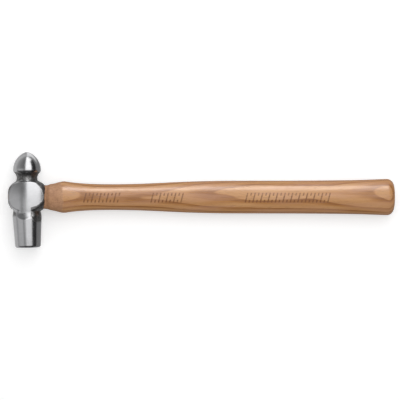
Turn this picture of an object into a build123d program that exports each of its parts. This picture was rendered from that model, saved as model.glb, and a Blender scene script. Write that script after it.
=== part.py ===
from build123d import *

import os
from math import acos, asin, atan2, copysign, cos, degrees, radians, sin, tan

os.makedirs("parts", exist_ok=True)

# Ball peen hammer: a quarter-pound forged head on a hickory handle, lying on its side.
# Units are millimetres. +X runs along the handle from the head to the butt, +Y from the
# striking face to the ball peen, and +Z up from the bench. The origin is on the bench,
# straight under the point where the head's axis crosses the handle's axis.

# ---- head, measured along the head from the handle's axis ----
peen_tip = 30.35            # top of the ball
peen_radius = 9.24          # ball at its equator
peen_height = 18.4          # height of that equator
peen_side_radius = 12.7     # arc of the ball's sides, which makes it slightly pointed
peen_rim_height = 16.9      # where the ball's underside turns in to the neck
neck_radius = 6.92
neck_height = 13.15
body_radius = 13.75         # round body about the eye, before the eye is punched
body_offset = 0.55          # its axis stands this far towards the butt
body_half_height = 11.44
body_centre = 0.4
body_exponent = 2.45        # squareness of the body's outline: 2 is an ellipse
body_top = 10.75            # crease between neck and body
body_top_angle = 84.0       # degrees round the outline at which the flat top takes over
valley_radius = 2.0         # cove between body and poll

# ---- poll, whose own axis leans towards the handle ----
poll_lean = 1.8             # degrees
poll_start = -10.25         # height at which its axis leaves the head's axis
poll_inside = 2.5           # how far it runs on up inside the body
poll_radius = 9.68          # widest ring
poll_widest = 3.0           # distance of that ring below the start
poll_swell_radius = 11.7
poll_taper = 3.3            # degrees, half angle
poll_length = 23.8          # start to striking face
face_rim_radius = 1.55

# ---- cheeks and eye ----
cheek_depth = 8.85          # head's axis to the middle of each cheek
cheek_dome_radius = 23.0    # curve of a cheek along the handle
cheek_crown_radius = 110.0  # its much flatter curve along the head
cheek_end = -9.6            # where it starts to curve out on the poll
cheek_runout_radius = 8.5
cheek_runout_height = 10.4  # clear of the poll
eye_mouth = (16.0, 9.6)     # opening across the head and between the cheeks
eye_waist = (14.9, 8.8)
eye_mouth_distance = 12.7   # from the head's axis to each mouth

# ---- handle: (distance from the head's axis, height across the head) ----
handle_outline = [
    (8.8, 15.6),
    (13.2, 16.9),
    (18.6, 18.6),
    (22.5, 20.6),
    (24.9, 21.2),
    (27.4, 20.7),
    (32.3, 19.45),
    (42.0, 18.0),
    (60.5, 17.4),
    (80.0, 18.3),
    (101.5, 20.3),
    (126.0, 21.8),
    (161.0, 22.1),
    (203.0, 22.5),
    (227.5, 23.35),
    (242.5, 24.5),
]
handle_thinness = 0.79      # thickness over height, everywhere along the handle
handle_end = 247.2
butt_radius = 4.7
toe_end = -12.3             # end of the tenon, flush with the head's toe
toe_grind_radius = 21.5     # curve to which that end is ground

# ---- wedges ----
wood_wedge_length = 16.5
wood_wedge_thick = 2.8
wood_wedge_thin = 0.7
steel_wedge_length = 12.0
steel_wedge_width = 9.0
steel_wedge_thick = 2.2
steel_wedge_thin = 0.5
steel_wedge_steps = 3
steel_wedge_step = 0.18
steel_wedge_angle = 40.0    # degrees that it is turned from the wooden wedge

axis_height = poll_radius   # the head rests on the poll's widest ring
head_plane = Plane.XY.offset(axis_height)


def body_point(height):
    """Radius of the body's rounded outline at a height, as a sketch point."""
    share = abs(height - body_centre) / body_half_height
    return (body_radius * (1 - share**body_exponent) ** (1 / body_exponent), height)


def body_curve_points(low, count):
    """Points of the body's outline from beside its flat top down to the height low."""
    squareness = 2 / body_exponent
    start = radians(body_top_angle)
    end = -asin(((body_centre - low) / body_half_height) ** (1 / squareness))
    points = []
    for step in range(count + 1):
        angle = start + (end - start) * step / count
        rise = copysign(abs(sin(angle)) ** squareness, angle)
        radius = body_radius * cos(angle) ** squareness
        points.append((body_offset + radius, body_centre + body_half_height * rise))
    return points


# ---- eye: an hourglass of ovals through the head, also the shape of the tenon ----
with BuildPart() as eye:
    for step in range(-3, 4):
        distance = step * eye_mouth_distance / 2
        flare = (distance / eye_mouth_distance) ** 2
        across = eye_waist[0] + (eye_mouth[0] - eye_waist[0]) * flare
        between = eye_waist[1] + (eye_mouth[1] - eye_waist[1]) * flare
        with BuildSketch(Plane.YZ.offset(distance)):
            with Locations((0, axis_height)):
                Ellipse(across / 2, between / 2)
    loft()

# ---- head: the peen with its neck, the body and the leaning poll, each turned on its own axis ----
with BuildPart() as head:
    tip_radius = (
        (peen_side_radius**2 - (peen_side_radius - peen_radius) ** 2 - (peen_tip - peen_height) ** 2)
        / (2 * (peen_side_radius - (peen_tip - peen_height)))
    )
    side_centre = (peen_radius - peen_side_radius, peen_height)
    tip_centre = (0, peen_tip - tip_radius)
    tangent_angle = degrees(atan2(tip_centre[1] - side_centre[1], -side_centre[0]))
    rim_angle = degrees(asin((peen_height - peen_rim_height) / peen_side_radius))
    with BuildSketch(head_plane):
        with BuildLine():
            CenterArc(tip_centre, tip_radius, 90, tangent_angle - 90)
            side = CenterArc(side_centre, peen_side_radius, tangent_angle, -tangent_angle - rim_angle)
            cove = ThreePointArc(side @ 1, (neck_radius, neck_height), body_point(body_top))
            Polyline(cove @ 1, ((cove @ 1).X, 0), (0, 0), (0, peen_tip))
        make_face()
    revolve(axis=Axis((0, 0, axis_height), (0, 1, 0)))

    with BuildSketch(head_plane):
        with BuildLine():
            body = Spline(body_curve_points(poll_start, 16))
            Polyline(body @ 1, (body_offset, poll_start), (body_offset, (body @ 0).Y), body @ 0)
        make_face()
    revolve(axis=Axis((body_offset, 0, axis_height), (0, 1, 0)))

    lean = radians(poll_lean)
    poll_plane = Plane(
        origin=(0, poll_start, axis_height), x_dir=(cos(lean), sin(lean), 0), z_dir=(0, 0, 1)
    )
    swell_centre = (poll_radius - poll_swell_radius, -poll_widest)
    swell_start = degrees(asin((poll_inside + poll_widest) / poll_swell_radius))
    with BuildSketch(poll_plane):
        with BuildLine():
            swell = CenterArc(swell_centre, poll_swell_radius, swell_start, -swell_start - poll_taper)
            taper_start = swell @ 1
            face_corner = (
                taper_start.X - (poll_length + taper_start.Y) * tan(radians(poll_taper)),
                -poll_length,
            )
            Polyline(swell @ 1, face_corner, (0, -poll_length), (0, poll_inside), swell @ 0)
        make_face()
    revolve(axis=Axis((0, poll_start, axis_height), (-sin(lean), cos(lean), 0)))
    fillet(head.edges(Select.NEW), valley_radius)
    fillet(head.faces().sort_by(Axis.Y)[0].edges(), face_rim_radius)

    crown_angle = degrees(asin(-cheek_end / cheek_crown_radius))
    runout_turn = degrees(acos(
        cos(radians(crown_angle)) - (cheek_runout_height - cheek_depth) / cheek_runout_radius
    ))
    for side_sign in (1, -1):
        with BuildSketch(Plane.YZ):
            with BuildLine():
                crown = CenterArc(
                    (0, axis_height + side_sign * (cheek_depth - cheek_crown_radius)),
                    cheek_crown_radius,
                    side_sign * (90 - crown_angle),
                    side_sign * 2 * crown_angle,
                )
                runout = CenterArc(
                    (
                        (crown @ 1).X - cheek_runout_radius * sin(radians(crown_angle)),
                        (crown @ 1).Y + side_sign * cheek_runout_radius * cos(radians(crown_angle)),
                    ),
                    cheek_runout_radius,
                    side_sign * (crown_angle - 90),
                    -side_sign * (crown_angle + runout_turn),
                )
                dome_axis = axis_height + side_sign * (cheek_depth - cheek_dome_radius)
                Polyline(
                    runout @ 1,
                    ((runout @ 1).X, axis_height + side_sign * (body_radius + 1)),
                    (-2 * poll_length, axis_height + side_sign * (body_radius + 1)),
                    (-2 * poll_length, dome_axis),
                    (2 * peen_tip, dome_axis),
                    (2 * peen_tip, axis_height + side_sign * (body_radius + 1)),
                    (body_half_height + 1, axis_height + side_sign * (body_radius + 1)),
                    (body_half_height + 1, (crown @ 0).Y),
                    crown @ 0,
                )
            make_face()
        revolve(axis=Axis((0, 0, dome_axis), (0, 1, 0)), mode=Mode.INTERSECT)
    add(eye.part, mode=Mode.SUBTRACT)
head.part.label = "head"
export_step(head.part, "parts/head.step")

# ---- tenon outline: the eye's shape, ground to a curve at the toe ----
with BuildPart() as tenon:
    add(eye.part)
    with BuildSketch(Plane.XY):
        with Locations((toe_end + toe_grind_radius, body_centre)):
            Circle(toe_grind_radius)
    extrude(amount=2 * axis_height, mode=Mode.INTERSECT)

# ---- steel wedge: stepped on both sides so that it bites ----
with BuildPart() as steel_wedge:
    wedge_plane = Plane(
        origin=(toe_end, body_centre, axis_height),
        x_dir=(1, 0, 0),
        z_dir=(0, cos(radians(steel_wedge_angle)), sin(radians(steel_wedge_angle))),
    )
    outline = []
    for step in range(steel_wedge_steps + 1):
        share = step / steel_wedge_steps
        half = (steel_wedge_thick + (steel_wedge_thin - steel_wedge_thick) * share) / 2
        if step > 0:
            outline.append((share * steel_wedge_length, half))
        if step < steel_wedge_steps:
            outline.append((share * steel_wedge_length, half + steel_wedge_step * (step > 0)))
    with BuildSketch(wedge_plane):
        with BuildLine():
            Polyline(outline)
            mirror(about=Plane.XZ)
            Line(outline[-1], (outline[-1][0], -outline[-1][1]))
            Line(outline[0], (outline[0][0], -outline[0][1]))
        make_face()
    extrude(amount=steel_wedge_width / 2, both=True)
    add(tenon.part, mode=Mode.INTERSECT)
steel_wedge.part.label = "steel_wedge"
export_step(steel_wedge.part, "parts/steel_wedge.step")

# ---- wooden wedge: fills the saw kerf along the eye's longer width ----
with BuildPart() as wood_wedge:
    with BuildSketch(Plane.XZ):
        with Locations((toe_end, axis_height)):
            Polygon(
                (-1, wood_wedge_thick / 2),
                (wood_wedge_length, wood_wedge_thin / 2),
                (wood_wedge_length, -wood_wedge_thin / 2),
                (-1, -wood_wedge_thick / 2),
                align=None,
            )
    extrude(amount=eye_mouth[0], both=True)
    add(tenon.part, mode=Mode.INTERSECT)
    add(steel_wedge.part, mode=Mode.SUBTRACT)
wood_wedge.part.label = "wood_wedge"
export_step(wood_wedge.part, "parts/wood_wedge.step")

# ---- handle: a turned outline flattened to an oval, with its tenon wedged in the eye ----
with BuildPart() as handle:
    with BuildSketch(Plane.XY.offset(axis_height / handle_thinness)):
        with BuildLine():
            edge = Spline([(distance, height / 2) for distance, height in handle_outline])
            butt = TangentArc(edge @ 1, (handle_end, (edge @ 1).Y - butt_radius), tangent=(1, 0))
            Polyline(butt @ 1, (handle_end, 0), (handle_outline[0][0], 0), edge @ 0)
        make_face()
    revolve(axis=Axis((0, 0, axis_height / handle_thinness), (1, 0, 0)))
    scale(by=(1, 1, handle_thinness))
    add(tenon.part)
    add(head.part, mode=Mode.SUBTRACT)
    add(wood_wedge.part, mode=Mode.SUBTRACT)
    add(steel_wedge.part, mode=Mode.SUBTRACT)
handle.part.label = "handle"
export_step(handle.part, "parts/handle.step")

for piece, density in ((head, 7.85), (handle, 0.80), (wood_wedge, 0.70), (steel_wedge, 7.85)):
    grams = piece.part.volume * density / 1000
    print(f"{piece.part.label}: {len(piece.part.solids())} solid, {grams:.1f} g")
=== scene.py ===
import math

import bmesh
import bpy
import numpy as np
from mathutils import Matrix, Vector


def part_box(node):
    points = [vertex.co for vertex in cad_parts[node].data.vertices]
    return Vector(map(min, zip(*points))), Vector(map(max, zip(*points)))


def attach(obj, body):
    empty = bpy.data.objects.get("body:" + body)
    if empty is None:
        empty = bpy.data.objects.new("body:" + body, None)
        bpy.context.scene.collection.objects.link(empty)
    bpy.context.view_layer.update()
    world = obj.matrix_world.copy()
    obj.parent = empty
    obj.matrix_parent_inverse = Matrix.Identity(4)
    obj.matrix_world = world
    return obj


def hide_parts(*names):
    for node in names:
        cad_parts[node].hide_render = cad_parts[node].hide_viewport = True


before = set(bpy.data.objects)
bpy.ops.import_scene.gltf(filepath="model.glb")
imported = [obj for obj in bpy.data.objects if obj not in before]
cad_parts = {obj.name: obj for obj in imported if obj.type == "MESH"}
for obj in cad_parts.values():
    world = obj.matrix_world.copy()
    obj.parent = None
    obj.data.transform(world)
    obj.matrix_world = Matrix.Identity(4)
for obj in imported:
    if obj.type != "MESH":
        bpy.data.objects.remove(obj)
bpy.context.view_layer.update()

# The hammer lies on its side: +X along the handle, +Y towards the ball peen, +Z up.
# Shapes are worked out in millimetres and scaled to metres when a mesh is made.
MM = 0.001

head_high = np.array(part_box("head")[1]) / MM
handle_low, handle_high = (np.array(corner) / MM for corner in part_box("handle"))

# ---- head, from the CAD head's box and its proportions ----
AXIS_Z = (handle_low[2] + handle_high[2]) / 2
PEEN_TIP = head_high[1]
PEEN_RADIUS = 9.24
PEEN_HEIGHT = 18.4
PEEN_SIDE_RADIUS = 12.7
PEEN_RIM = 17.9
RIM_BEVEL = (0.32, 1.05)
NECK_RADIUS = 6.92
NECK_HEIGHT = 13.15
BODY_RADIUS = 13.75
BODY_OFFSET = 0.55
BODY_HALF_HEIGHT = 11.44
BODY_CENTRE = 0.4
BODY_EXPONENT = 2.45
BODY_TOP = 10.75
POLL_START = -10.25
POLL_LEAN = math.radians(1.8)
POLL_RADIUS = 9.68
POLL_WIDEST = POLL_START - 3.0
POLL_SHOULDER = 5.5            # how far above its widest ring the poll's arc starts
LEAN_BLEND = 2.4               # height over which the poll's lean sets in
POLL_SWELL_RADIUS = 11.7
POLL_TAPER = math.radians(3.3)
POLL_LENGTH = 23.8
FACE_RIM = 1.55
CHEEK_DEPTH = 8.85
CHEEK_DOME = 23.0
CHEEK_CROWN = 110.0
CHEEK_END = -9.6
CHEEK_TOP = 12.4
RUNOUT_RADIUS = 8.5
CHEEK_SOFTNESS = (0.35, 1.1)   # rounding of its edge near the ends and beside the eye
HEEL_HOLLOW = 0.10             # share of the body's radius taken away at the lower heel
HEEL_HOLLOW_HEIGHTS = (1.5, 7.0)   # below the body's centre, where the hollow sets in
CRISP_HEIGHTS = (4.5, 8.5)     # from the body's centre, where the cheek's edge gets crisp
JOINT_SOFTNESS = 1.1
OUTLINE_SOFTNESS = 0.16
EYE_MOUTH = (16.0, 9.6)
EYE_WAIST = (14.9, 8.8)
EYE_MOUTH_DISTANCE = 12.7
EYE_LIP = 0.45
EYE_PATCH = (9.5, -8.9)        # heights between which the head's skin is opened for the eye

HEAD_RINGS = 320
HEAD_COLUMNS = 192
PATCH_HALF_COLUMNS = 16
PATCH_LOOPS = 10               # rings of faces from the opening to the eye's edge
EYE_LOOPS = 24                 # rings of faces through the eye
HANDLE_COLUMNS = 128

# ---- handle ----
HANDLE_OUTLINE = [
    (8.8, 15.6), (13.2, 16.9), (18.6, 18.6), (22.5, 20.6), (24.9, 21.2), (27.4, 20.7),
    (32.3, 19.45), (42.0, 18.0), (60.5, 17.4), (80.0, 18.3), (101.5, 20.3), (126.0, 21.8),
    (161.0, 22.1), (203.0, 22.5), (227.5, 23.35), (242.5, 24.5),
]
HANDLE_THINNESS = 0.79
HANDLE_END = handle_high[0]
BUTT_RADIUS = 4.7
TOE_SETBACK = 0.12         # the wedges stand this far out of the wood
TOE_END = handle_low[0] + TOE_SETBACK
TOE_GRIND_RADIUS = 21.5
TENON_CLEARANCE = 0.03
HEEL_LIP = 13.3
HANDLE_SWELL = 3.0


def mesh_object(name, points, faces, material):
    """A smooth-shaded object from points in millimetres, its normals facing out."""
    mesh = bpy.data.meshes.new(name)
    mesh.from_pydata([tuple(point) for point in np.asarray(points) * MM], [], faces)
    work = bmesh.new()
    work.from_mesh(mesh)
    loose = [vertex for vertex in work.verts if not vertex.link_faces]
    bmesh.ops.delete(work, geom=loose, context="VERTS")
    bmesh.ops.recalc_face_normals(work, faces=work.faces)
    for face in work.faces:
        face.smooth = True
    work.to_mesh(mesh)
    work.free()
    mesh.materials.append(material)
    piece = bpy.data.objects.new(name, mesh)
    bpy.context.scene.collection.objects.link(piece)
    return piece


def arc(centre, radius, start, end, step=0.05):
    """Points of an arc between two angles in degrees, about step millimetres apart."""
    count = max(2, int(abs(math.radians(end - start)) * radius / step))
    angles = np.radians(np.linspace(start, end, count + 1))
    return np.column_stack((centre[0] + radius * np.cos(angles), centre[1] + radius * np.sin(angles)))


def arc_through(first, middle, last):
    """Points of the arc through three points."""
    (ax, ay), (bx, by), (cx, cy) = first, middle, last
    double = 2 * (ax * (by - cy) + bx * (cy - ay) + cx * (ay - by))
    a2, b2, c2 = ax * ax + ay * ay, bx * bx + by * by, cx * cx + cy * cy
    ux = (a2 * (by - cy) + b2 * (cy - ay) + c2 * (ay - by)) / double
    uy = (a2 * (cx - bx) + b2 * (ax - cx) + c2 * (bx - ax)) / double
    radius = math.hypot(ax - ux, ay - uy)
    start = math.degrees(math.atan2(ay - uy, ax - ux)) % 360
    end = math.degrees(math.atan2(cy - uy, cx - ux)) % 360
    return arc((ux, uy), radius, start, end)


def line(first, last, step=0.05):
    """Points of a straight line, about step millimetres apart."""
    count = max(2, int(math.dist(first, last) / step))
    return np.linspace(first, last, count + 1)


def body_reach(height):
    """Radius of the body's own outline, which is squarer than an ellipse."""
    share = np.clip(np.abs(height - BODY_CENTRE) / BODY_HALF_HEIGHT, 0, 1)
    return BODY_RADIUS * (1 - share**BODY_EXPONENT) ** (1 / BODY_EXPONENT)


def smooth_min(first, second, width):
    """The smaller of two values, rounded where they cross."""
    overlap = np.clip(width - np.abs(first - second), 0, None) / width
    return np.minimum(first, second) - overlap * overlap * width / 4


def spine_profile():
    """Outline of peen, neck and poll without the body, from the ball's tip to the face's middle."""
    rise = PEEN_TIP - PEEN_HEIGHT
    inset = PEEN_SIDE_RADIUS - PEEN_RADIUS
    tip_radius = (PEEN_SIDE_RADIUS**2 - inset**2 - rise**2) / (2 * (PEEN_SIDE_RADIUS - rise))
    tangent = math.degrees(math.atan2(PEEN_TIP - tip_radius - PEEN_HEIGHT, inset))
    rim_angle = -math.degrees(math.asin((PEEN_HEIGHT - PEEN_RIM) / PEEN_SIDE_RADIUS))
    tip = arc((0, PEEN_TIP - tip_radius), tip_radius, 90, tangent)
    side = arc((-inset, PEEN_HEIGHT), PEEN_SIDE_RADIUS, tangent, rim_angle)
    bevel = line(side[-1], (side[-1, 0] - RIM_BEVEL[0], side[-1, 1] - RIM_BEVEL[1]))
    cove = arc_through(bevel[-1], (NECK_RADIUS, NECK_HEIGHT), (body_reach(BODY_TOP), BODY_TOP))
    swell_centre = (POLL_RADIUS - POLL_SWELL_RADIUS, POLL_WIDEST)
    inside = swell_centre[1] + POLL_SHOULDER
    shoulder_start = (
        swell_centre[0] + math.sqrt(POLL_SWELL_RADIUS**2 - (inside - POLL_WIDEST) ** 2), inside
    )
    stub = line(cove[-1], shoulder_start)
    start = math.degrees(math.asin((inside - POLL_WIDEST) / POLL_SWELL_RADIUS))
    swell = arc(swell_centre, POLL_SWELL_RADIUS, start, -math.degrees(POLL_TAPER))
    face_height = POLL_START - POLL_LENGTH
    corner = swell[-1, 0] - (swell[-1, 1] - face_height) * math.tan(POLL_TAPER)
    setback = FACE_RIM * math.tan(math.pi / 4 - POLL_TAPER / 2)
    rim = arc((corner - setback, face_height + FACE_RIM), FACE_RIM, -math.degrees(POLL_TAPER), -90)
    taper = line(swell[-1], rim[0])
    face = line(rim[-1], (0, face_height))
    parts = [tip, side[1:], bevel[1:], cove[1:], stub[1:], swell[1:], taper[1:], rim[1:], face[1:]]
    return soften(np.vstack(parts), OUTLINE_SOFTNESS)


def soften(points, width, step=0.05):
    """The outline at even steps, with its corners rounded by a running average."""
    length = np.concatenate(([0], np.cumsum(np.hypot(*np.diff(points, axis=0).T))))
    places = np.linspace(0, length[-1], int(length[-1] / step) + 1)
    even = np.column_stack([np.interp(places, length, points[:, axis]) for axis in (0, 1)])
    reach = int(4 * width / step)
    weights = np.exp(-0.5 * (np.arange(-reach, reach + 1) * step / width) ** 2)
    weights /= weights.sum()
    out = even.copy()
    for axis in (0, 1):
        mirrored = 1 if axis else -1
        padded = np.concatenate(
            (mirrored * even[reach:0:-1, axis], even[:, axis], mirrored * even[-2:-reach - 2:-1, axis])
        )
        out[:, axis] = np.convolve(padded, weights, "valid")
    out[0], out[-1] = (0, out[0, 1]), (0, out[-1, 1])
    return out


def cheek_depth(height):
    """Depth of a cheek's middle: a flat crown, then the hollow in which it runs out on the poll."""
    crown_turn = math.asin(-CHEEK_END / CHEEK_CROWN)
    crown = CHEEK_DEPTH - CHEEK_CROWN + np.sqrt(CHEEK_CROWN**2 - height**2)
    centre_y = CHEEK_END - RUNOUT_RADIUS * math.sin(crown_turn)
    centre_z = CHEEK_DEPTH - CHEEK_CROWN + (CHEEK_CROWN + RUNOUT_RADIUS) * math.cos(crown_turn)
    reach = np.clip(np.abs(height - centre_y), 0, RUNOUT_RADIUS)
    return np.where(height > CHEEK_END, crown, centre_z - np.sqrt(RUNOUT_RADIUS**2 - reach**2))


def cheek_radius(height, angle):
    """Distance from the head's axis to the domed cheek, along a direction across the head."""
    centre = CHEEK_DEPTH - CHEEK_DOME
    dome = CHEEK_DOME + cheek_depth(height) - CHEEK_DEPTH
    along = np.abs(np.sin(angle)) * centre
    return along + np.sqrt(along**2 - centre**2 + dome**2)


def smooth_step(value, low, high):
    """Rises smoothly from 0 at low to 1 at high."""
    share = np.clip((value - low) / (high - low), 0, 1)
    return share * share * (3 - 2 * share)


def head_radius(radius, height, angle):
    """The turned outline joined to the off-centre body and cut back to the cheeks."""
    reach = body_reach(height)
    side = BODY_OFFSET * np.sin(angle)
    body = BODY_OFFSET * np.cos(angle) + np.sqrt(np.clip(reach**2 - side**2, 0, None))
    body = np.where((reach > 1.0) & (height < BODY_TOP + 0.6), body, 0.0)
    lower_heel = smooth_step(BODY_CENTRE - height, *HEEL_HOLLOW_HEIGHTS)
    lower_heel = lower_heel * smooth_step(np.cos(angle), 0.0, 0.6)
    body = body * (1 - HEEL_HOLLOW * lower_heel * np.sin(2 * angle) ** 2)
    joined = -smooth_min(-radius, -body, JOINT_SOFTNESS)
    crisp, soft = CHEEK_SOFTNESS
    softness = soft + (crisp - soft) * smooth_step(np.abs(height - BODY_CENTRE), *CRISP_HEIGHTS)
    cheek = np.where(height < CHEEK_TOP, cheek_radius(height, angle), 2 * BODY_RADIUS)
    return smooth_min(joined, cheek, softness)


def lean(points):
    """Turns what is below the body about the poll's start, towards the handle."""
    points = np.array(points, float)
    drop = POLL_START + LEAN_BLEND / 2 - points[:, 1]
    angle = POLL_LEAN * smooth_step(drop, 0, LEAN_BLEND)
    x, y = points[:, 0].copy(), points[:, 1] - POLL_START
    points[:, 0] = x * np.cos(angle) - y * np.sin(angle)
    points[:, 1] = x * np.sin(angle) + y * np.cos(angle) + POLL_START
    return points


def eye_half_sizes(distance):
    """Half height and half width of the eye's oval at a distance from the head's axis."""
    flare = (distance / EYE_MOUTH_DISTANCE) ** 2
    return tuple((waist + (mouth - waist) * flare) / 2 for waist, mouth in zip(EYE_WAIST, EYE_MOUTH))


def build_head(material):
    """One closed skin: rings about the head's axis, with the eye's mouths let into both sides."""
    profile = spine_profile()
    reach = np.maximum(profile[:, 0], np.where(profile[:, 1] < BODY_TOP, body_reach(profile[:, 1]), 0))
    length = np.concatenate(([0], np.cumsum(np.hypot(np.diff(reach), np.diff(profile[:, 1])))))
    rings, columns = HEAD_RINGS, HEAD_COLUMNS
    places = np.linspace(0, length[-1], rings + 2)[1:-1]
    ring_radius = np.interp(places, length, profile[:, 0])
    ring_height = np.interp(places, length, profile[:, 1])
    inside = (profile[:, 1] < BODY_TOP) & (profile[:, 1] > POLL_START)
    spine_heights, spine_radii = profile[inside, 1][::-1], profile[inside, 0][::-1]

    def surface(height, angle):
        radius = head_radius(np.interp(height, spine_heights, spine_radii), height, angle)
        return np.array((radius * np.cos(angle), height, radius * np.sin(angle)))

    points = []
    angles = np.arange(columns) * 2 * math.pi / columns
    for radius, height in zip(ring_radius, ring_height):
        reach = head_radius(np.full(columns, radius), np.full(columns, height), angles)
        ring = np.column_stack((reach * np.cos(angles), np.full(columns, height), reach * np.sin(angles)))
        points.extend(ring)
    tip, face_middle = len(points), len(points) + 1
    points.extend(((0, profile[0, 1], 0), (0, profile[-1, 1], 0)))

    first, last = (int(np.argmax(ring_height < height)) for height in EYE_PATCH)
    half_columns = PATCH_HALF_COLUMNS
    faces = [(tip, column, (column + 1) % columns) for column in range(columns)]
    bottom = (rings - 1) * columns
    faces += [(bottom + (column + 1) % columns, bottom + column, face_middle) for column in range(columns)]

    def in_mouth(ring, column):
        offset = min(column % (columns // 2), columns // 2 - 1 - column % (columns // 2))
        return first <= ring < last and offset < half_columns

    for ring in range(rings - 1):
        for column in range(columns):
            if not in_mouth(ring, column):
                near, far = ring * columns + column, ring * columns + (column + 1) % columns
                faces.append((near, far, far + columns, near + columns))

    mouths = []
    for middle in (0, columns // 2):
        left, right = middle - half_columns, middle + half_columns
        edge = [(first, column) for column in range(left, right)]
        edge += [(ring, right) for ring in range(first, last)]
        edge += [(last, column) for column in range(right, left, -1)]
        edge += [(ring, left) for ring in range(last, first, -1)]
        loop = [ring * columns + column % columns for ring, column in edge]
        side = 1 if middle == 0 else -1
        heights = ring_height[[ring for ring, _ in edge]]
        turns = np.array([angles[column % columns] for _, column in edge])
        rim_points = np.array([points[index] for index in loop])
        around = np.arctan2(rim_points[:, 2] / EYE_MOUTH[1], rim_points[:, 1] / EYE_MOUTH[0])
        mouth_points, mouth_turns = eye_edge(around, side, EYE_LIP, surface)
        inner = np.unwrap(np.column_stack((turns, mouth_turns)), axis=1)[:, 1]
        for step in range(1, PATCH_LOOPS + 1):
            share = step / PATCH_LOOPS
            row = [
                surface(height + (mouth[1] - height) * share, turn + (goal - turn) * share)
                for height, mouth, turn, goal in zip(heights, mouth_points, turns, inner)
            ]
            loop = add_loop(points, faces, loop, row)
        for degrees in (15, 30, 45, 60, 75, 90):
            roll = math.radians(degrees)
            wall, _ = eye_edge(around, side, EYE_LIP * (1 - math.sin(roll)), surface)
            wall[:, 0] = mouth_points[:, 0] - side * EYE_LIP * (1 - math.cos(roll))
            loop = add_loop(points, faces, loop, wall)
        mouths.append((around, loop, wall[:, 0]))

    (around, loop, near_edge), (other_around, far_loop, far_edge) = mouths
    match = [int(np.argmin(np.abs(np.angle(np.exp(1j * (other_around - turn)))))) for turn in around]
    for step in range(1, EYE_LOOPS):
        share = step / EYE_LOOPS
        row = []
        for index, turn in enumerate(around):
            x = near_edge[index] + (far_edge[match[index]] - near_edge[index]) * share
            half_height, half_width = eye_half_sizes(x)
            row.append((x, half_height * math.cos(turn), half_width * math.sin(turn)))
        loop = add_loop(points, faces, loop, row)
    count = len(loop)
    for index in range(count):
        after = (index + 1) % count
        faces.append((loop[index], loop[after], far_loop[match[after]], far_loop[match[index]]))
    points = lean(points)
    points[:, 2] += AXIS_Z
    return mesh_object("head_forging", points, faces, material)


def eye_edge(around, side, offset, surface):
    """Points on the head's surface beside the eye's oval, that far outside it, and their angles."""
    points, turns = [], []
    for turn in around:
        x = side * (BODY_RADIUS - 1.0)
        for _ in range(12):
            half_height, half_width = eye_half_sizes(x)
            y, z = half_height * math.cos(turn), half_width * math.sin(turn)
            normal = np.array((math.cos(turn) / half_height, math.sin(turn) / half_width))
            normal *= offset / np.hypot(*normal)
            y, z = y + normal[0], z + normal[1]
            angle = math.atan2(z, x)
            x = side * math.sqrt(max(np.hypot(*surface(y, angle)[[0, 2]]) ** 2 - z * z, 1.0))
        points.append((x, y, z))
        turns.append(math.atan2(z, x))
    return np.array(points), np.array(turns)


def add_loop(points, faces, loop, row):
    """Adds a ring of points and joins it to the loop before it."""
    start = len(points)
    points.extend(row)
    count = len(loop)
    for index in range(count):
        after = (index + 1) % count
        faces.append((loop[index], loop[after], start + after, start + index))
    return list(range(start, start + count))


def smooth_curve(stations, places):
    """A natural cubic through the stations, which keeps the outline free of kinks."""
    x, y = (np.array(column, float) for column in zip(*stations))
    gaps, rises = np.diff(x), np.diff(y) / np.diff(x)
    count = len(x)
    matrix, right = np.zeros((count, count)), np.zeros(count)
    matrix[0, 0] = matrix[-1, -1] = 1
    for index in range(1, count - 1):
        before, after = gaps[index - 1], gaps[index]
        matrix[index, index - 1:index + 2] = (before, 2 * (before + after), after)
        right[index] = 6 * (rises[index] - rises[index - 1])
    bend = np.linalg.solve(matrix, right)
    index = np.clip(np.searchsorted(x, places) - 1, 0, count - 2)
    ahead, behind, gap = x[index + 1] - places, places - x[index], gaps[index]
    return (
        (bend[index] * ahead**3 + bend[index + 1] * behind**3) / (6 * gap)
        + (y[index] / gap - bend[index] * gap / 6) * ahead
        + (y[index + 1] / gap - bend[index + 1] * gap / 6) * behind
    )


def ground_toe(height):
    """Where the tenon's end lies along the handle: it is ground to the curve of the head's toe."""
    return TOE_END + TOE_GRIND_RADIUS - np.sqrt(TOE_GRIND_RADIUS**2 - (height - BODY_CENTRE) ** 2)


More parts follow.
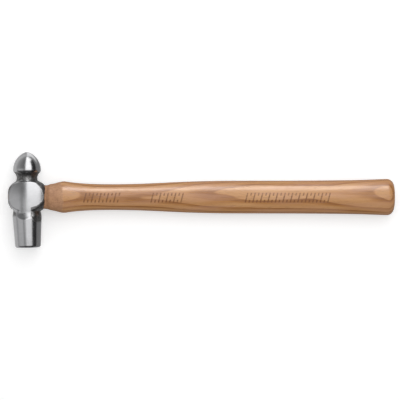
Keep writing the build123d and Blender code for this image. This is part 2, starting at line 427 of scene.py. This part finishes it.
def build_handle(material):
    """Ovals from the ground end of the tenon, through the eye, to the rounded butt."""
    columns = HANDLE_COLUMNS
    around = np.arange(columns) * 2 * math.pi / columns
    sections = []
    for x in np.arange(TOE_END, HEEL_LIP, 0.6):
        half_height, half_width = eye_half_sizes(x)
        sections.append((x, half_height - TENON_CLEARANCE, half_width - TENON_CLEARANCE))
    mouth = sections[-1]
    for share in (0.2, 0.4, 0.6, 0.8, 1.0):
        x = mouth[0] + HANDLE_SWELL * share
        half = smooth_curve(HANDLE_OUTLINE, np.array([x]))[0] / 2
        ease = share * share * (3 - 2 * share)
        sections.append((
            x,
            mouth[1] + (half - mouth[1]) * ease,
            mouth[2] + (half * HANDLE_THINNESS - mouth[2]) * ease,
        ))
    butt_start = HANDLE_OUTLINE[-1][0]
    for x in np.arange(sections[-1][0] + 0.5, butt_start, 0.7):
        half = smooth_curve(HANDLE_OUTLINE, np.array([x]))[0] / 2
        sections.append((x, half, half * HANDLE_THINNESS))
    butt_half = HANDLE_OUTLINE[-1][1] / 2
    reach = HANDLE_END - butt_start
    for turn in np.radians(np.arange(0, 91, 6)):
        half = butt_half - BUTT_RADIUS * (1 - math.cos(turn))
        sections.append((butt_start + reach * math.sin(turn), half, half * HANDLE_THINNESS))
    last = sections[-1]
    for share in (0.8, 0.6, 0.4, 0.2, 0.08):
        sections.append((last[0], last[1] * share, last[2] * share))
    points, faces = [], []
    for x, half_height, half_width in sections:
        for turn in around:
            points.append((x, half_height * math.cos(turn), half_width * math.sin(turn)))
    for ring in range(len(sections) - 1):
        for column in range(columns):
            after = (column + 1) % columns
            near, far = ring * columns + column, ring * columns + after
            faces.append((near, far, far + columns, near + columns))
    points = np.array(points)
    toe = points[:columns]
    toe[:, 0] = ground_toe(toe[:, 1])
    for ring in range(1, 5):
        row = points[ring * columns:(ring + 1) * columns]
        row[:, 0] = np.maximum(row[:, 0], toe[:, 0] + 0.25 * ring)
    caps = []
    for share in (0.85, 0.7, 0.55, 0.4, 0.25, 0.1):
        ring = toe * (1, share, share)
        ring[:, 0] = ground_toe(ring[:, 1])
        caps.append(ring)
    points = list(points)
    loop = list(range(columns))
    for ring in caps:
        loop = add_loop(points, faces, loop, ring)
    middle = len(points)
    points.append((TOE_END + 0.004, 0, 0))
    faces += [(loop[index], loop[(index + 1) % columns], middle) for index in range(columns)]
    butt_ring = (len(sections) - 1) * columns
    middle = len(points)
    points.append((HANDLE_END, 0, 0))
    faces += [
        (butt_ring + index, butt_ring + (index + 1) % columns, middle) for index in range(columns)
    ]
    points = np.array(points)
    points[:, 2] += AXIS_Z
    return mesh_object("hickory_handle", points, faces, material)


# ---- materials, in metres ----
PITH = (0.012, 0.085)          # the tree's middle, from the handle's axis
GRAIN_SLOPE = 0.014
RING_WARP = 0.0042
RING_SPACING = 0.0023
SANDED_END = 0.0255            # where the bare sanded wood gives way to lacquer

SCALE_RAGGED = 0.0016
CHEEK_FACE = (0.0117, 0.0115, 0.0126, 0.0072)      # half length, half height above, below left and right
TONGUE_MIDDLE = -0.0012        # bright strip from the cheek down to the poll
TONGUE_HALF_WIDTH = (0.0046, 0.0054)
POLL_GROUND = (-0.0128, -0.0165)                   # the bright poll's upper end, left and right
BALL_GROUND = 0.0169

MARK_HEIGHT = 0.0068
MARK_MIDDLE = -0.0004
MARK_SLANT = 0.26
STROKE = 0.00042
BURNED_MARKS = [(0.0385, 0.0636, 0.0025), (0.0835, 0.1060, 0.0025), (0.1465, 0.2040, 0.0025)]


class Nodes:
    """Short calls for making and joining shader nodes in one material."""

    def __init__(self, name):
        self.material = bpy.data.materials.new(name)
        self.material.use_nodes = True
        self.tree = self.material.node_tree
        self.shader = next(node for node in self.tree.nodes if node.type == "BSDF_PRINCIPLED")
        self.place = self.add("ShaderNodeTexCoord").outputs["Object"]

    def add(self, kind, **settings):
        node = self.tree.nodes.new(kind)
        for name, value in settings.items():
            setattr(node, name, value)
        return node

    def join(self, source, target):
        self.tree.links.new(source, target)

    def give(self, target, value):
        if isinstance(value, bpy.types.NodeSocket):
            self.join(value, target)
        else:
            target.default_value = value

    def scaled(self, x, y, z, vector=None, offset=(0, 0, 0)):
        node = self.add("ShaderNodeMapping")
        self.join(vector or self.place, node.inputs["Vector"])
        node.inputs["Scale"].default_value = (x, y, z)
        node.inputs["Location"].default_value = offset
        return node.outputs["Vector"]

    def noise(self, vector, scale=1.0, detail=4.0, rough=0.5, distort=0.0):
        node = self.add("ShaderNodeTexNoise")
        self.join(vector, node.inputs["Vector"])
        node.inputs["Scale"].default_value = scale
        node.inputs["Detail"].default_value = detail
        node.inputs["Roughness"].default_value = rough
        node.inputs["Distortion"].default_value = distort
        return node.outputs["Fac"]

    def math(self, operation, first, second=0.0, third=0.0, clamp=False):
        node = self.add("ShaderNodeMath", operation=operation, use_clamp=clamp)
        for socket, value in zip(node.inputs, (first, second, third)):
            self.give(socket, value)
        return node.outputs[0]

    def range(self, value, low, high, out_low=0.0, out_high=1.0, smooth=True):
        node = self.add("ShaderNodeMapRange")
        node.interpolation_type = "SMOOTHSTEP" if smooth else "LINEAR"
        for name, number in zip(("Value", "From Min", "From Max", "To Min", "To Max"),
                                (value, low, high, out_low, out_high)):
            self.give(node.inputs[name], number)
        return node.outputs["Result"]

    def ramp(self, value, stops):
        node = self.add("ShaderNodeValToRGB")
        self.join(value, node.inputs["Fac"])
        ramp = node.color_ramp
        while len(ramp.elements) < len(stops):
            ramp.elements.new(0.5)
        for element, (position, colour) in zip(ramp.elements, stops):
            element.position = position
            element.color = (*colour, 1.0)
        return node.outputs["Color"]

    def mix(self, share, first, second, blend="MIX"):
        node = self.add("ShaderNodeMix", data_type="RGBA", blend_type=blend)
        self.give(node.inputs["Factor"], share)
        for socket, value in ((node.inputs[6], first), (node.inputs[7], second)):
            if isinstance(value, tuple):
                value = (*value, 1.0)
            self.give(socket, value)
        return node.outputs[2]

    def bump(self, height, strength, distance, normal=None):
        node = self.add("ShaderNodeBump")
        self.join(height, node.inputs["Height"])
        node.inputs["Strength"].default_value = strength
        node.inputs["Distance"].default_value = distance
        if normal:
            self.join(normal, node.inputs["Normal"])
        return node.outputs["Normal"]

    def parts(self, vector=None):
        node = self.add("ShaderNodeSeparateXYZ")
        self.join(vector or self.place, node.inputs[0])
        return node.outputs["X"], node.outputs["Y"], node.outputs["Z"]


def forging_scale(n, ragged):
    """1 where the head was never ground bright: neck, band round the cheeks, heel and valley."""
    x, y, _ = n.parts()
    y = n.math("ADD", y, n.math("MULTIPLY", n.math("SUBTRACT", ragged, 0.5), SCALE_RAGGED))
    below = n.math("LESS_THAN", y, 0.0)
    cheek_below = n.range(x, -0.002, 0.003, CHEEK_FACE[2], CHEEK_FACE[3])
    half_height = n.math("ADD", n.math("MULTIPLY", below, cheek_below),
                         n.math("MULTIPLY", n.math("SUBTRACT", 1.0, below), CHEEK_FACE[1]))
    level = n.math("ADD", n.math("POWER", n.math("ABSOLUTE", n.math("DIVIDE", x, CHEEK_FACE[0])), 2.0),
                   n.math("POWER", n.math("ABSOLUTE", n.math("DIVIDE", y, half_height)), 2.0))
    cheek = n.range(level, 0.94, 1.06, 1.0, 0.0)
    beside = n.math("ABSOLUTE", n.math("SUBTRACT", x, TONGUE_MIDDLE))
    tongue = n.math("MULTIPLY", n.range(beside, *TONGUE_HALF_WIDTH, 1.0, 0.0), below)
    poll = n.range(n.math("SUBTRACT", n.range(x, 0.003, 0.007, POLL_GROUND[0], POLL_GROUND[1]), y),
                   -0.0010, 0.0010)
    ball = n.range(y, BALL_GROUND - 0.0002, BALL_GROUND + 0.0001)
    ground = n.math("MAXIMUM", n.math("MAXIMUM", cheek, tongue), n.math("MAXIMUM", poll, ball))
    return n.math("SUBTRACT", 1.0, ground)


def steel(name, colour, rough=0.2, scaled=False):
    """Ground steel with a fine grind and cloudy patches, and forging scale where it was left."""
    n = Nodes(name)
    grind = n.noise(n.scaled(300, 5200, 300), 1.0, 3.0, 0.6)
    cloud = n.noise(n.scaled(160, 160, 160), 1.0, 4.0, 0.6)
    patches = n.noise(n.scaled(45, 45, 45, offset=(3, 1, 7)), 1.0, 2.0, 0.5)
    tone = n.range(n.math("ADD", n.math("MULTIPLY", grind, 0.5), n.math("MULTIPLY", patches, 0.5)),
                   0.3, 0.7, 0.88, 1.06)
    bright = n.mix(1.0, colour, n.mix(tone, (0, 0, 0), (1, 1, 1)), "MULTIPLY")
    roughness = n.range(n.math("ADD", n.math("MULTIPLY", cloud, 0.6), n.math("MULTIPLY", grind, 0.4)),
                        0.3, 0.7, rough - 0.035, rough + 0.05)
    waves = n.bump(patches, 0.25, 0.0004)
    normal = n.bump(grind, 0.1, 0.00003, waves)
    if scaled:
        pitting = n.noise(n.scaled(620, 620, 620, offset=(6, 2, 1)), 1.0, 5.0, 0.65)
        scale = forging_scale(n, n.noise(n.scaled(420, 420, 420, offset=(1, 8, 4)), 1.0, 3.0, 0.6))
        dull = n.ramp(n.range(pitting, 0.32, 0.68, smooth=False),
                      [(0.0, (0.10, 0.098, 0.096)), (0.6, (0.20, 0.198, 0.196)), (1.0, (0.38, 0.38, 0.38))])
        bright = n.mix(scale, bright, dull)
        dull_rough = n.range(pitting, 0.3, 0.7, 0.5, 0.32)
        rougher = n.math("SUBTRACT", dull_rough, roughness)
        roughness = n.math("ADD", roughness, n.math("MULTIPLY", scale, rougher))
        normal = n.bump(n.math("MULTIPLY", scale, pitting), 0.6, 0.00012, normal)
    n.join(bright, n.shader.inputs["Base Color"])
    n.join(roughness, n.shader.inputs["Roughness"])
    n.shader.inputs["Metallic"].default_value = 1.0
    n.join(normal, n.shader.inputs["Normal"])
    return n.material


def growth_figure(n, warp):
    """Rings about a far-off pith: 0 in the early wood, rising to 1 in the late wood."""
    x, y, z = n.parts()
    across, down = (
        n.math("POWER", n.math("ADD", place, pith), 2.0) for place, pith in zip((y, z), PITH)
    )
    from_pith = n.math("SQRT", n.math("ADD", across, down))
    drift = n.math("ADD", n.math("MULTIPLY", x, GRAIN_SLOPE), n.math("MULTIPLY", warp, RING_WARP))
    turns = n.math("DIVIDE", n.math("ADD", from_pith, drift), RING_SPACING)
    return n.math("FRACT", turns)


def hickory(name, light, middle, dark, gloss, matte, sanded_to=None, marks=()):
    """Ring-porous wood: growth rings, long streaks, short dark pores and a clouded tone."""
    n = Nodes(name)
    slow = n.noise(n.scaled(14, 60, 60), 1.0, 2.0, 0.5)
    ring = growth_figure(n, slow)
    late = n.math("MULTIPLY", n.range(ring, 0.35, 0.9), n.range(ring, 0.93, 1.0, 1.0, 0.0))
    streak = n.noise(n.scaled(38, 900, 900, offset=(2, 5, 1)), 1.0, 5.0, 0.62)
    fine = n.noise(n.scaled(110, 3600, 3600, offset=(7, 2, 3)), 1.0, 3.0, 0.6)
    cloud = n.noise(n.scaled(22, 120, 120, offset=(4, 9, 2)), 1.0, 3.0, 0.55)
    tone = n.math("ADD", n.math("MULTIPLY", late, 0.34), n.math("MULTIPLY", streak, 0.62))
    tone = n.math("ADD", tone, n.math("MULTIPLY", fine, 0.16))
    tone = n.math("ADD", tone, n.math("MULTIPLY", cloud, 0.34))
    colour = n.ramp(n.range(tone, 0.42, 1.02, smooth=False), [(0.0, light), (0.45, middle), (1.0, dark)])
    pinkness = n.noise(n.scaled(30, 260, 260, offset=(1, 3, 8)), 1.0, 2.0, 0.5)
    colour = n.mix(n.range(pinkness, 0.42, 0.66, 0.0, 0.4), colour, (0.62, 0.33, 0.20))
    pore_noise = n.noise(n.scaled(230, 5200, 5200, offset=(5, 5, 5)), 1.0, 1.0, 0.4)
    porous = n.range(ring, 0.0, 0.4, 1.0, 0.35)
    pores = n.math("MULTIPLY", n.range(pore_noise, 0.63, 0.72), porous)
    colour = n.mix(n.math("MULTIPLY", pores, 0.6), colour, tuple(0.55 * part for part in dark))
    height = n.math("SUBTRACT", n.math("MULTIPLY", streak, 0.35), n.math("MULTIPLY", pores, 1.0))
    roughness = n.range(streak, 0.3, 0.7, gloss - 0.03, gloss + 0.05)
    if sanded_to:
        x, y, _ = n.parts()
        bow = n.math("MULTIPLY", n.math("POWER", y, 2.0), 22.0)
        wander = n.math("MULTIPLY", n.math("SUBTRACT", slow, 0.5), 0.004)
        edge = n.math("ADD", n.math("ADD", x, bow), wander)
        sanded = n.range(edge, sanded_to - 0.0008, sanded_to + 0.0008, 1.0, 0.0)
        mottle = n.noise(n.scaled(520, 640, 640, offset=(3, 3, 6)), 1.0, 4.0, 0.7, 0.9)
        mottled = n.mix(n.range(mottle, 0.34, 0.66, 0.0, 0.7), (0.60, 0.33, 0.19), (0.36, 0.17, 0.085))
        colour = n.mix(n.math("MULTIPLY", sanded, 0.75), colour, mottled)
        roughness = n.math("ADD", roughness, n.math("MULTIPLY", sanded, matte - gloss))
        height = n.math("ADD", height, n.math("MULTIPLY", sanded, n.math("MULTIPLY", mottle, 0.8)))
    for mark in marks:
        burn = burned_mark(n, *mark)
        scorch = n.math("MULTIPLY", burn, n.range(streak, 0.25, 0.7, 0.9, 0.5))
        colour = n.mix(scorch, colour, (0.17, 0.062, 0.02))
        height = n.math("SUBTRACT", height, n.math("MULTIPLY", burn, 1.2))
    n.join(colour, n.shader.inputs["Base Color"])
    n.join(roughness, n.shader.inputs["Roughness"])
    n.shader.inputs["Specular IOR Level"].default_value = 0.5
    n.join(n.bump(height, 0.5, 0.00006), n.shader.inputs["Normal"])
    return n.material


def burned_mark(n, start, end, pitch):
    """A row of slanted bars, every other one broken in two, burned into the upper side."""
    x, y, z = n.parts()
    up = n.math("SUBTRACT", y, MARK_MIDDLE)
    along = n.math("SUBTRACT", n.math("SUBTRACT", x, n.math("MULTIPLY", up, MARK_SLANT)), start)
    cells = n.math("DIVIDE", along, pitch)
    beside = n.math("ABSOLUTE", n.math("MULTIPLY", n.math("SUBTRACT", n.math("FRACT", cells), 0.5), pitch))
    level = n.math("ABSOLUTE", up)
    other = n.math("GREATER_THAN", n.math("FRACT", n.math("MULTIPLY", cells, 0.5)), 0.5)
    gap = n.math("MULTIPLY", other, MARK_HEIGHT * 0.2)
    bar = n.math("MULTIPLY", n.range(beside, STROKE * 0.7, STROKE * 1.5, 1.0, 0.0), n.math(
        "MULTIPLY", n.range(level, MARK_HEIGHT * 0.46, MARK_HEIGHT * 0.5, 1.0, 0.0),
        n.math("GREATER_THAN", level, gap),
    ))
    inside = n.math("MULTIPLY", n.math("GREATER_THAN", along, 0.0), n.math("LESS_THAN", along, end - start))
    upper = n.math("GREATER_THAN", z, AXIS_Z * MM)
    return n.math("MULTIPLY", bar, n.math("MULTIPLY", inside, upper), clamp=True)


steel_material = steel("polished_forged_steel", (0.5, 0.5, 0.51), scaled=True)
wood_material = hickory(
    "lacquered_hickory", (0.68, 0.37, 0.165), (0.54, 0.255, 0.092), (0.29, 0.108, 0.029),
    gloss=0.27, matte=0.62, sanded_to=SANDED_END, marks=BURNED_MARKS,
)
wedge_wood = hickory(
    "bare_beech", (0.64, 0.47, 0.30), (0.52, 0.36, 0.21), (0.34, 0.20, 0.10), gloss=0.6, matte=0.7
)
wedge_steel = steel("wedge_steel_dull", (0.35, 0.35, 0.36), 0.35)

head = build_head(steel_material)
handle = build_handle(wood_material)
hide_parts("head")
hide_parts("handle")
for piece, slot in ((head, "head_steel"), (handle, "handle_hickory")):
    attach(piece, "root")
for node, material in (("wood_wedge", wedge_wood), ("steel_wedge", wedge_steel)):
    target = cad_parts[node]
    target.data.materials.clear()
    target.data.materials.append(material)


# ---- floor, camera and light ----
def light_path_mix(add, join, for_camera, for_glossy, for_rest):
    """One shader for camera rays, one for glossy rays and one for all others."""
    path = add("ShaderNodeLightPath")
    below = add("ShaderNodeMixShader")
    join(path.outputs["Is Glossy Ray"], below.inputs[0])
    join(for_rest, below.inputs[1])
    join(for_glossy, below.inputs[2])
    top = add("ShaderNodeMixShader")
    join(path.outputs["Is Camera Ray"], top.inputs[0])
    join(below.outputs[0], top.inputs[1])
    join(for_camera, top.inputs[2])
    return top.outputs[0]


FLOOR_REACH = 20.0
FLOOR_LIFT = 0.42              # light given off by the floor, so that it is almost white
FLOOR_PAINTED_REFLECTION = (0.75, 0.30)     # painted reflection: the floor's glow that only the steel sees, brighter on the toe side and darker on the butt's side as painted shade
PAINTED_POOL_UNDER_PANELS = 0.9              # painted pool of light added to that glow past the ball, where the floor lies under the panels
floor_mesh = bpy.data.meshes.new("floor")
floor_mesh.from_pydata(
    [(x * FLOOR_REACH, y * FLOOR_REACH, 0) for x, y in ((-1, -1), (1, -1), (1, 1), (-1, 1))],
    [], [(0, 1, 2, 3)],
)
floor = bpy.data.objects.new("floor", floor_mesh)
bpy.context.scene.collection.objects.link(floor)
n = Nodes("white_paper")
n.shader.inputs["Base Color"].default_value = (0.9, 0.9, 0.9, 1)
n.shader.inputs["Roughness"].default_value = 0.9
n.shader.inputs["Specular IOR Level"].default_value = 0.1
n.shader.inputs["Emission Color"].default_value = (1, 1, 1, 1)
n.shader.inputs["Emission Strength"].default_value = FLOOR_LIFT
# All other rays see the floor as dim brown: painted shade, so that the white floor's bounce leaves the
# hammer's underside dark.
dull = n.add("ShaderNodeBsdfDiffuse")
dull.inputs["Color"].default_value = (0.26, 0.23, 0.20, 1)
# Glossy rays see the floor as a glow, not a lamp: a painted reflection, lighter on the toe side, darker
# towards the butt as painted shade, with a painted pool of light past the ball.
painted_floor_reflection = n.add("ShaderNodeEmission")
across, along, _ = n.parts()
painted_pool_mask = n.math("MULTIPLY", n.range(along, 0.030, 0.045), n.math(
    "MULTIPLY", n.range(across, -0.004, 0.001), n.range(across, 0.02, 0.045, 1.0, 0.0)
))
painted_reflection_level = n.range(across, -0.03, 0.03, *FLOOR_PAINTED_REFLECTION)
n.join(n.math("ADD", painted_reflection_level, n.math("MULTIPLY", painted_pool_mask, PAINTED_POOL_UNDER_PANELS)), painted_floor_reflection.inputs["Strength"])
surface_output = next(node for node in n.tree.nodes if node.type == "OUTPUT_MATERIAL")
n.join(
    light_path_mix(n.add, n.join, n.shader.outputs[0], painted_floor_reflection.outputs[0], dull.outputs[0]),
    surface_output.inputs["Surface"],
)
floor_mesh.materials.append(n.material)

IMAGE_WIDTH = 269.8        # millimetres across the picture, at the height of the head's axis
VIEW_CENTRE = (116.7, -1.96)
LENS = 105.0
SENSOR = 36.0
camera_data = bpy.data.cameras.new("camera")
camera_data.lens = LENS
camera_data.sensor_width = SENSOR
camera = bpy.data.objects.new("camera", camera_data)
bpy.context.scene.collection.objects.link(camera)
camera.location = (VIEW_CENTRE[0] * MM, VIEW_CENTRE[1] * MM, (AXIS_Z + IMAGE_WIDTH * LENS / SENSOR) * MM)
bpy.context.scene.camera = camera


def softbox(name, low, high, radiance):
    """A rectangular light between two corners, one coordinate alike, facing the hammer."""
    low, high = Vector(low), Vector(high)
    size = high - low
    data = bpy.data.lights.new(name, "AREA")
    data.shape = "RECTANGLE"
    lamp = bpy.data.objects.new(name, data)
    bpy.context.scene.collection.objects.link(lamp)
    lamp.location = (low + high) / 2
    if size.z == 0:
        data.size, data.size_y = size.x, size.y
    elif size.y == 0:
        data.size, data.size_y = size.x, size.z
        lamp.rotation_euler = (-math.pi / 2, 0, 0)
    data.energy = radiance * math.pi * data.size * data.size_y
    lamp.visible_camera = False
    return lamp


PANEL_HEIGHT = 0.34
PANEL_LEFT, PANEL_RIGHT = -0.015, 0.34
PANEL_BACK = 0.60
STRIP_PLACE = (0.13, 0.46, 0.33)
STRIP_TILT = math.radians(56)
for name, low, high, radiance in (
    ("panel_left", (-0.09, -0.09), (PANEL_LEFT, 0.0), 0.42),
    ("panel_near", (PANEL_LEFT, -0.09), (PANEL_RIGHT, 0.01), 0.68),
    ("panel_middle", (PANEL_LEFT, 0.01), (PANEL_RIGHT, 0.07), 1.05),
    ("panel_far", (PANEL_LEFT, 0.07), (PANEL_RIGHT, PANEL_BACK), 1.2),
):
    softbox(name, (*low, PANEL_HEIGHT), (*high, PANEL_HEIGHT), radiance)
softbox("panel_back", (-0.02, PANEL_BACK, 0.05), (0.38, PANEL_BACK, PANEL_HEIGHT), 1.5)
sheen = softbox("strip_for_lacquer", (-0.10, 0.0, 0.0), (0.40, 0.24, 0.0), 7.2)
sheen.location = STRIP_PLACE
sheen.rotation_euler = (-STRIP_TILT, 0, 0)
sheen.visible_diffuse = False
lacquered = bpy.data.collections.new("lacquered")
lacquered.objects.link(handle)
sheen.light_linking.receiver_collection = lacquered

world = bpy.data.worlds.new("studio")
bpy.context.scene.world = world
world.use_nodes = True
tree = world.node_tree
tree.nodes.clear()


def world_node(kind, **settings):
    node = tree.nodes.new(kind)
    for name, value in settings.items():
        setattr(node, name, value)
    return node


def world_math(operation, *values):
    node = world_node("ShaderNodeMath", operation=operation)
    for socket, value in zip(node.inputs, values):
        if isinstance(value, bpy.types.NodeSocket):
            tree.links.new(value, socket)
        else:
            socket.default_value = value
    return node.outputs[0]


def world_ramp(value, stops):
    """A grey level by position, from 0 to 1, along the stops."""
    node = world_node("ShaderNodeValToRGB")
    tree.links.new(value, node.inputs["Fac"])
    elements = node.color_ramp.elements
    while len(elements) < len(stops):
        elements.new(0.5)
    for element, (position, level) in zip(elements, stops):
        element.position = position
        element.color = (level, level, level, 1)
    return node.outputs["Color"]


# What the steel reflects besides the panels: a grey card on the toe side, a dark gap between it and
# the panels, and black cloth on the butt's side. Angles are from overhead towards the butt.
# STUDIO_BEHIND is the same for what lies on the ball's side, and NEAR_SIDE dims the face's side.
STUDIO = [
    (-150, 0.9), (-104, 0.62), (-90, 0.52), (-78, 0.58), (-66, 0.78), (-30, 0.82), (-20, 0.42),
    (-7, 0.30), (-1, 0.8), (42, 0.8), (50, 0.18), (56, 0.05), (84, 0.03), (98, 0.22),
]
STUDIO_BEHIND = [
    (-150, 0.9), (-104, 0.62), (-90, 0.50), (-78, 0.46), (-62, 0.40), (-46, 0.30), (-12, 0.17),
    (-5, 0.8), (42, 0.8), (50, 0.14), (56, 0.04), (84, 0.03), (98, 0.3),
]
BEHIND_BLEND = (-0.06, 0.16)
NEAR_SIDE = [(0.0, 0.10), (0.26, 0.14), (0.38, 0.70), (0.45, 1.0), (1.0, 1.0)]
split = world_node("ShaderNodeSeparateXYZ")
tree.links.new(world_node("ShaderNodeTexCoord").outputs["Generated"], split.inputs[0])
bearing = world_math("ARCTAN2", split.outputs["X"], split.outputs["Z"])
turn_share = world_math("MULTIPLY_ADD", bearing, 0.5 / math.pi, 0.5)
around, behind = (
    world_ramp(turn_share, [(angle / 360 + 0.5, level) for angle, level in stops])
    for stops in (STUDIO, STUDIO_BEHIND)
)
turned_back = world_node("ShaderNodeMapRange", interpolation_type="SMOOTHSTEP")
tree.links.new(split.outputs["Y"], turned_back.inputs["Value"])
for name, value in zip(("From Min", "From Max"), BEHIND_BLEND):
    turned_back.inputs[name].default_value = value
surroundings = world_node("ShaderNodeMix", data_type="FLOAT")
for source, socket in ((turned_back.outputs["Result"], 0), (around, 2), (behind, 3)):
    tree.links.new(source, surroundings.inputs[socket])
forward = world_ramp(world_math("MULTIPLY_ADD", split.outputs["Y"], 0.5, 0.5), NEAR_SIDE)
glossy = world_node("ShaderNodeBackground")
tree.links.new(world_math("MULTIPLY", surroundings.outputs[0], forward), glossy.inputs["Strength"])
soft = world_node("ShaderNodeBackground")
soft.inputs["Strength"].default_value = 0.5
seen = world_node("ShaderNodeBackground")
for background in (glossy, soft, seen):
    background.inputs["Color"].default_value = (1, 1, 1, 1)
output = world_node("ShaderNodeOutputWorld")
tree.links.new(
    light_path_mix(world_node, tree.links.new, seen.outputs[0], glossy.outputs[0], soft.outputs[0]),
    output.inputs["Surface"],
)

bpy.context.scene.view_settings.view_transform = "Standard"
